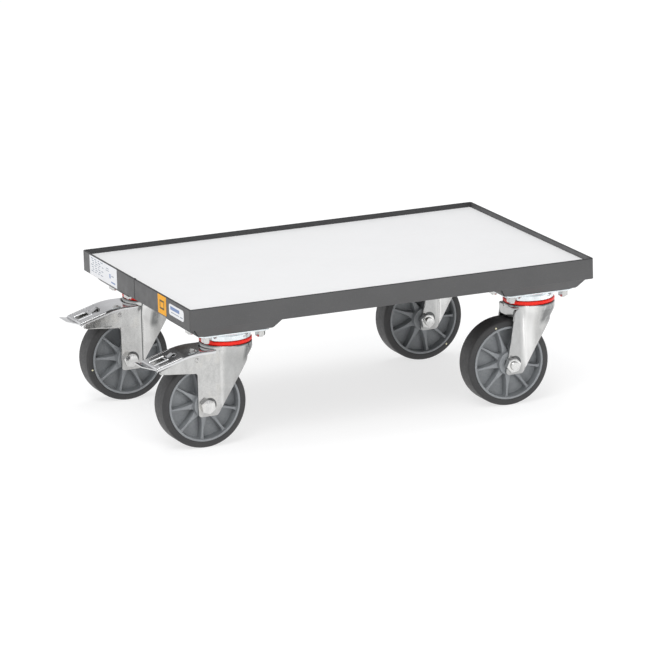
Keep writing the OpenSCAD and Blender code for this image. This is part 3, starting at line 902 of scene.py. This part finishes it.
def make_axle_hardware(corner):
    """Hexagon bolt head on one side, nut and the bolt's end on the other."""
    # the bolt's head is on the right at the rear, and on the left in front
    place = axle(corner) @ turned(0 if corner in REAR else 180, "X")
    tilt = turned(HEX_TURN[corner])
    bm = bmesh.new()
    radius = 10.97
    hexagon_piece(bm, radius, LEG_OUT, LEG_OUT + 7.5, place @ tilt)
    low, high = -LEG_OUT - 14, LEG_OUT + 0.5
    lathe(bm, filleted([(0.01, low), (6, low), (6, high), (0.01, high)], [0, 1.1, 0, 0], 3), place, 48)
    bolt = to_object("hex_bolt_" + corner, bm, 30)
    finish_piece(bolt, "swivel_" + corner, ZINC_BRIGHT, "zinc", "axle_bolt_" + corner)
    bm = bmesh.new()
    turn_over = turned(180, "X")
    hexagon_piece(bm, radius, LEG_OUT, LEG_OUT + 10, place @ turn_over @ tilt, 6.0, True)
    nut = to_object("hex_nut_" + corner, bm, 30)
    finish_piece(nut, "swivel_" + corner, ZINC_BRIGHT, "zinc", "axle_nut_" + corner)


# ---- wheels

def both_sides(right):
    """A closed outline of (radius, height) from the half of it that is above 0."""
    return [(r, -z) for r, z in right] + [(r, z) for r, z in reversed(right)]


def make_tyre(corner):
    """The tyre's band, with a small lip, side wall, moulding line, shoulder and tread from the centre out."""
    half = TYRE_HALF
    lip = [(SEAT_R, half - 0.5), (SEAT_R + 0.7, half - 0.1), (SEAT_R + 1.4, half)]
    wall = [(57.6, half), (58.0, half - 0.25)] + arc(58.3, half - 4.4, 4.1, 82, 0, 8)
    bm = bmesh.new()
    lathe(bm, both_sides(lip + wall), axle(corner), 144)
    tyre = to_object("tyre_band_" + corner, bm, 50)
    finish_piece(tyre, "wheel_" + corner, RUBBER, "tyre_rubber", "tyre_" + corner)


# A rib of a wheel: its half width by radius, and the radii where it is drawn
RIB_WIDTHS = [(15.5, 4.6), (20, 3.7), (25, 2.6), (33, 1.75), (42, 1.5), (47, 1.8), (BARREL_R + 0.8, 3.2)]
RIB_STATIONS = [15.5, 18, 20, 22.5, 25, 29, 33, 38, 42, 45, 47, 48.6, BARREL_R + 0.6]
RIBS = 9


def make_wheel(corner):
    """The plastic wheel centre: hub, thin web, barrel, and ribs on both sides."""
    place = axle(corner)
    bm = bmesh.new()
    web, barrel = 3.0, TYRE_HALF + 0.5
    right = [
        (11.6, 20.7), (8.3, 20.7), (8.3, 22.5), (17, 22.5), (17, web), (BARREL_R, web),
        (BARREL_R + 0.3, barrel), (SEAT_R - 0.02, barrel),
    ]
    radii = [0.3, 0.2, 0.5, 1.2, 1.8, 1.8, 0.8, 0.9]
    lathe(bm, filleted(both_sides(right), radii + radii[::-1], 4), place, 144)
    first = CORNERS[corner][2]
    for side in (-1, 1):
        for i in range(RIBS):
            spin = place @ turned(first + 360 / RIBS * i)
            rings = []
            for r in RIB_STATIONS:
                w = table_value(RIB_WIDTHS, r)
                foot, high = web - 1, 15.6 - 1.4 * smooth((r - 20) / 24)
                section = [(-w - 0.75, foot), (w + 0.75, foot), (w, high), (-w, high)]
                section = filleted(section, [0, 0, 0.8, 0.8], 3)
                rings.append([spin @ Vector((r, y, side * z)) for y, z in section])
            capped_sweep(bm, rings)
    wheel = to_object("wheel_hub_" + corner, bm, 42)
    finish_piece(wheel, "wheel_" + corner, WHEEL, "wheel_grey", "wheel_centre_" + corner)


MARK_TURN = {"rl": 192, "fr": 110, "fl": -50, "rr": 60}  # where on each tyre its paint dot is, in degrees


def make_tyre_mark(corner):
    """The small paint dot on a tyre's right sidewall."""
    bm = bmesh.new()
    place = axle(corner) @ turned(MARK_TURN[corner])
    place = place @ Matrix.Translation((SEAT_R + 2.8, 0, TYRE_HALF))
    dot = filleted([(0.01, -0.2), (1.45, -0.2), (1.25, 0.22), (0.01, 0.3)], [0, 0, 0.15, 0], 3)
    lathe(bm, dot, place, 20)
    finish_piece(to_object("tyre_mark_" + corner, bm, 50), "wheel_" + corner, MARK, "label_white")


# ---- brakes

PEDAL_HALF, PEDAL_TOP, PEDAL_BEND_X, PEDAL_BEND_R = 28.5, -24.4, -44.0, 110.0
PEDAL_SLOPE = 16.5  # degrees
PEDAL_END = -113.0


def pedal_height(x):
    """Height of the pedal's upper face at x."""
    if x > PEDAL_BEND_X:
        return PEDAL_TOP
    slope = math.radians(PEDAL_SLOPE)
    end_x = PEDAL_BEND_X - PEDAL_BEND_R * math.sin(slope)
    if x > end_x:
        return PEDAL_TOP - PEDAL_BEND_R + math.sqrt(PEDAL_BEND_R ** 2 - (x - PEDAL_BEND_X) ** 2)
    end_z = PEDAL_TOP - PEDAL_BEND_R * (1 - math.cos(slope))
    return end_z - (end_x - x) * math.tan(slope)


def lip_reach(y):
    """How far the lip stands out behind the pedal's end at y. It is cut off at a slant on the right."""
    return 13.0 if y > 0 else lerp(13.0, 1.0, -y / PEDAL_HALF)


def pedal_point(kind, value, y, drop):
    """A point of the pedal's upper face at y, where the long edge is turned down by drop."""
    if kind == "front":
        # the front edge is cut round, to clear the castor's head
        x = lerp(-math.sqrt(38.5 ** 2 - y * y), PEDAL_BEND_X, value)
        return x, y, pedal_height(x) - drop
    if kind == "lip":
        # a groove between the pedal and its lip, then the lip rising again to its edge
        z = pedal_height(PEDAL_END) - drop * lerp(0.85, 0.3, value)
        z += 1.1 * smooth((value - 0.25) / 0.6) - 2.6 * smooth(value / 0.2)
        return PEDAL_END - value * lip_reach(y), y, z
    framed = -112.0 <= value <= -89.5 and 8.2 < abs(y) <= 9.7
    return value, y, pedal_height(value) - drop + (0.9 if framed else 0.0)


def pedal_open(front, rear, y0, y1):
    """Whether a cell of the pedal lies in its window, or in a notch beside its tongue."""
    near, far = sorted((abs(y0), abs(y1)))
    window = front <= -92 and rear >= -110.4 and far <= 7.6
    notch = front <= -76 and rear >= -88.9 and near >= 4.9 and far <= 6.3
    return window or notch


def pedal_top(corner):
    """The pedal's sheet, with turned-down sides, a framed window, a bent tongue and a lip."""
    columns = [(-28.5, 4.5), (-28.5, 1.7), (-28.2, 0.8), (-27.5, 0.2), (-26.6, 0.0), (-24, 0)]
    columns += [(y, 0) for y in (-20, -16, -12.5, -10.3, -9.6, -8.4, -7.5, -6.2, -5, -3.3, -1.6, 0)]
    columns += [(-y, drop) for y, drop in reversed(columns[:-1])]
    middle = [
        -46, -49, -52, -56, -60, -64, -68, -72, -74.5, -76, -78, -80.5, -83, -85.5, -87.5, -88.8, -89.6,
        -90.4, -91.4, -92.2, -97, -102, -107, -110.2, -111, -111.9, -112.4, PEDAL_END,
    ]
    rows = [("front", t) for t in (0, 0.35, 0.7, 1)] + [("middle", x) for x in middle]
    rows += [("lip", t) for t in (0.04, 0.12, 0.2, 0.4, 0.6, 0.8, 0.93, 1)]
    bm = bmesh.new()
    grid = [[bm.verts.new(pedal_point(*row, *column)) for column in columns] for row in rows]
    for front, rear, ahead, behind in zip(rows, rows[1:], grid, grid[1:]):
        whole = front[0] != "middle" or rear[0] != "middle"
        for i in range(len(columns) - 1):
            j = i + 1
            if whole or not pedal_open(front[1], rear[1], columns[i][0], columns[j][0]):
                bm.faces.new((ahead[i], behind[i], behind[j], ahead[j]))
    bmesh.ops.recalc_face_normals(bm, faces=bm.faces)
    if sum(f.normal.z * f.calc_area() for f in bm.faces) < 0:
        bmesh.ops.reverse_faces(bm, faces=bm.faces)
    for v in bm.verts:
        # the tongue between the two notches stands up towards the castor
        if abs(v.co.y) < 5.1 and -88.9 < v.co.x < -75.9:
            v.co.z += 3.2 * smooth((v.co.x + 88.9) / 10) * (1 - smooth((v.co.x + 78.5) / 2.6))
    bmesh.ops.transform(bm, matrix=on_castor(corner), verts=bm.verts)
    return bevel(thickened("pedal_top", bm, 1.5, 35), 0.3, 2, 45)


def pedal_ribs(corner):
    """Short ribs pressed across both long edges of the pedal."""
    bm = bmesh.new()
    for side in (-1, 1):
        for k in range(13):
            x = -75.5 - 2.85 * k
            place = on_castor(corner, x, side * 24.4, pedal_height(x)) @ turned(-PEDAL_SLOPE, "Y")
            rings = []
            for along, swell in ((-2.4, 0.05), (-1.9, 0.8), (0, 1), (1.9, 0.8), (2.4, 0.05)):
                ring = []
                for a in circle(12):
                    high = 0.62 * swell * math.sin(a) - 0.1 if math.sin(a) > 0 else -0.2
                    ring.append(place @ Vector((0.8 * math.cos(a), along, high)))
                rings.append(ring)
            capped_sweep(bm, rings)
    return to_object("pedal_ribs", bm, 50)


def make_pedal(corner):
    """The pressed pedal: its crowned sheet, the two ears that its pin goes through, and its ribs."""
    pin_x, pin_z = PEDAL_PIN
    bm = bmesh.new()
    for y0, y1 in ((21.0, 22.5), (-22.5, -21.0)):
        ear = arc(pin_x, pin_z, 6, 180, 360, 16)
        ear += [(pin_x + 6, PEDAL_TOP - 1.5), (pin_x - 6, PEDAL_TOP - 1.6)]
        prism(bm, ear, y0, y1, on_castor(corner) @ INTO_XZ)
    ears = bevel(to_object("pedal_ears", bm, 40), 0.3, 1, 50)
    pedal = joined("pedal_pressed_" + corner, pedal_top(corner), ears, pedal_ribs(corner))
    finish_piece(pedal, "brake_pedal_" + corner, CHROME, "pedal_chrome", "pedal_" + corner)


def make_brake_pins(corner):
    """The riveted pedal pin with low domed heads, and the shoe's pin."""
    bm = bmesh.new()
    turn = turned(90, "X")
    rivet = [(0.01, 26.6), (1.2, 26.55), (1.8, 26.3), (2.0, 26.05), (2.5, 26.05), (2.9, 26.5), (3.2, 26.45)]
    rivet += [(3.5, 25.9)]
    lathe(bm, both_sides(rivet), on_castor(corner, PEDAL_PIN[0], 0, PEDAL_PIN[1]) @ turn, 40)
    shoe = filleted([(0.01, -25.8), (2.5, -25.8), (2.5, 25.8), (0.01, 25.8)], [0, 0.5, 0.5, 0], 3)
    lathe(bm, shoe, on_castor(corner, -28, 0, -33) @ turn, 32)
    pins = to_object("rivets_" + corner, bm, 40)
    finish_piece(pins, "swivel_" + corner, ZINC, "zinc", "brake_pins_" + corner)


make_rim()
make_weld()
make_labels()
make_plate_nuts()
for name in CORNERS:
    make_tray(name)
    make_head(name)
    make_head_mark(name)
    make_seal(name)
    make_fork(name)
    make_axle_hardware(name)
    make_tyre(name)
    make_wheel(name)
    make_tyre_mark(name)
for name in REAR:
    make_pedal(name)
    make_brake_pins(name)

paint_node("board", LAMINATE)
for node in ("plate_bolts", "plate_washers", "kingpin_nuts"):
    paint_node(node, ZINC)
for node in ("swivel_balls", "kingpins"):
    paint_node(node, STEEL)
for name in CORNERS:
    paint_node("axle_tube_" + name, STEEL)
    paint_node("bearing_" + name, STEEL)
for name in REAR:
    paint_node("brake_shoe_" + name, ZINC)
    paint_node("pedal_spring_" + name, STEEL)


# ---- stage

def make_floor():
    """The white sheet that the trolley stands on."""
    bm = bmesh.new()
    bmesh.ops.create_grid(bm, x_segments=1, y_segments=1, size=9000)
    bmesh.ops.translate(bm, vec=(0, 0, PLATE_Z + AXLE_Z - WHEEL_R), verts=bm.verts)
    floor = to_object("floor", bm)
    s = Shader("floor_pale", (0.4, 0.4, 0.4), 0.0, 0.8, Emission_Color=(1, 1, 1, 1), Specular_IOR_Level=0.0)
    s.tint(s.ranged(s.noise(3, 2), 0.3, 0.7), (0.395, 0.395, 0.396))
    # the light falls off far from the trolley, so the sheet glows a little more there
    square = s.math("ADD", s.math("POWER", s.axis(0), 2.0), s.math("POWER", s.axis(1), 2.0))
    s.link(s.ranged(square, 0.8, 5.0, 0.69, 0.78), s.bsdf.inputs["Emission Strength"])
    floor.data.materials.append(s.mat)


def make_world():
    """A room that is white up to the horizon and darker overhead, for the metal to mirror."""
    world = bpy.data.worlds.new("studio")
    bpy.context.scene.world = world
    world.use_nodes = True
    tree = world.node_tree
    tree.nodes.clear()
    direction = add_node(tree, "TexCoord").outputs["Generated"]
    split = add_node(tree, "SeparateXYZ", {0: direction})
    ramp = add_node(tree, "ValToRGB", {0: split.outputs[2]})
    ramp.color_ramp.elements[0].color = (1.0, 1.0, 1.0, 1)
    ramp.color_ramp.elements[1].color = (0.62, 0.63, 0.64, 1)
    for place, grey in ((0.12, 1.0), (0.34, 0.85), (0.5, 0.36), (0.72, 0.42)):
        stop = ramp.color_ramp.elements.new(place)
        stop.color = (grey, grey, grey * 1.02, 1)
    # the room is darker towards the front end, lighter towards the rear
    inputs = {"Value": split.outputs[0], "From Min": -0.5, "From Max": 0.8, "To Min": 1.05, "To Max": 0.65}
    side = add_node(tree, "MapRange", inputs)
    sky = add_node(tree, "Background", {"Color": ramp.outputs[0], "Strength": side.outputs[0]})
    add_node(tree, "OutputWorld", {0: sky.outputs[0]})


def area_light(name, position, target, size, power, size_y=None):
    """A soft light in metres and watts that faces its target."""
    data = bpy.data.lights.new(name, "AREA")
    data.shape = "RECTANGLE"
    data.size = size
    data.size_y = size_y or size
    data.energy = power
    light = linked(name, data)
    light.location = position
    light.rotation_mode = "QUATERNION"
    light.rotation_quaternion = (Vector(target) - Vector(position)).to_track_quat("-Z", "Y")
    return light


def floor_pool(name, position, radius, power):
    """A spot straight down on the floor beside the trolley. The bright zinc picks it up as a reflection."""
    data = bpy.data.lights.new(name, "SPOT")
    data.energy = power
    data.shadow_soft_size = 0.05
    data.spot_size = 2 * math.atan2(radius, position[2] + 0.2)
    data.spot_blend = 0.45
    linked(name, data).location = position


def make_camera():
    """The photograph's viewpoint, from its angles and its shifts from the middle of the rim's top."""
    azimuth, elevation, roll = (math.radians(a) for a in (-22.78, 14.09, -1.69))
    flat = math.cos(elevation)
    back = Vector((math.sin(azimuth) * flat, -math.cos(azimuth) * flat, math.sin(elevation)))
    right = Vector((math.cos(azimuth), math.sin(azimuth), 0))
    up = back.cross(right)
    c, s = math.cos(roll), math.sin(roll)
    x_axis, y_axis = c * right + s * up, -s * right + c * up
    place = Vector((0, 0, RIM_TOP)) + x_axis * -15.4 + y_axis * -101.4 + back * 7653
    data = bpy.data.cameras.new("camera")
    data.sensor_width = 36
    data.lens = 297.37
    data.clip_end = 100
    camera = linked("camera", data)
    turn = Matrix((x_axis, y_axis, back)).transposed().to_4x4()
    camera.matrix_world = Matrix.Translation(place * MM) @ turn
    bpy.context.scene.camera = camera


make_floor()
make_world()
area_light("key", (-1.3, -1.7, 2.5), (0, 0, -0.1), 1.8, 44)
area_light("top", (0.5, 0.7, 2.8), (0, 0, 0), 2.2, 36)
floor_pool("pool", (0.78, -0.42, 0.9), 0.34, 80)
# the fill lights the dark sides but is not mirrored in the zinc's edges
fill = area_light("fill", (0.5, -2.6, 0.35), (0, 0, -0.1), 1.5, 17, 0.8)
fill.visible_glossy = False
make_camera()
bpy.context.scene.view_settings.view_transform = "Standard"
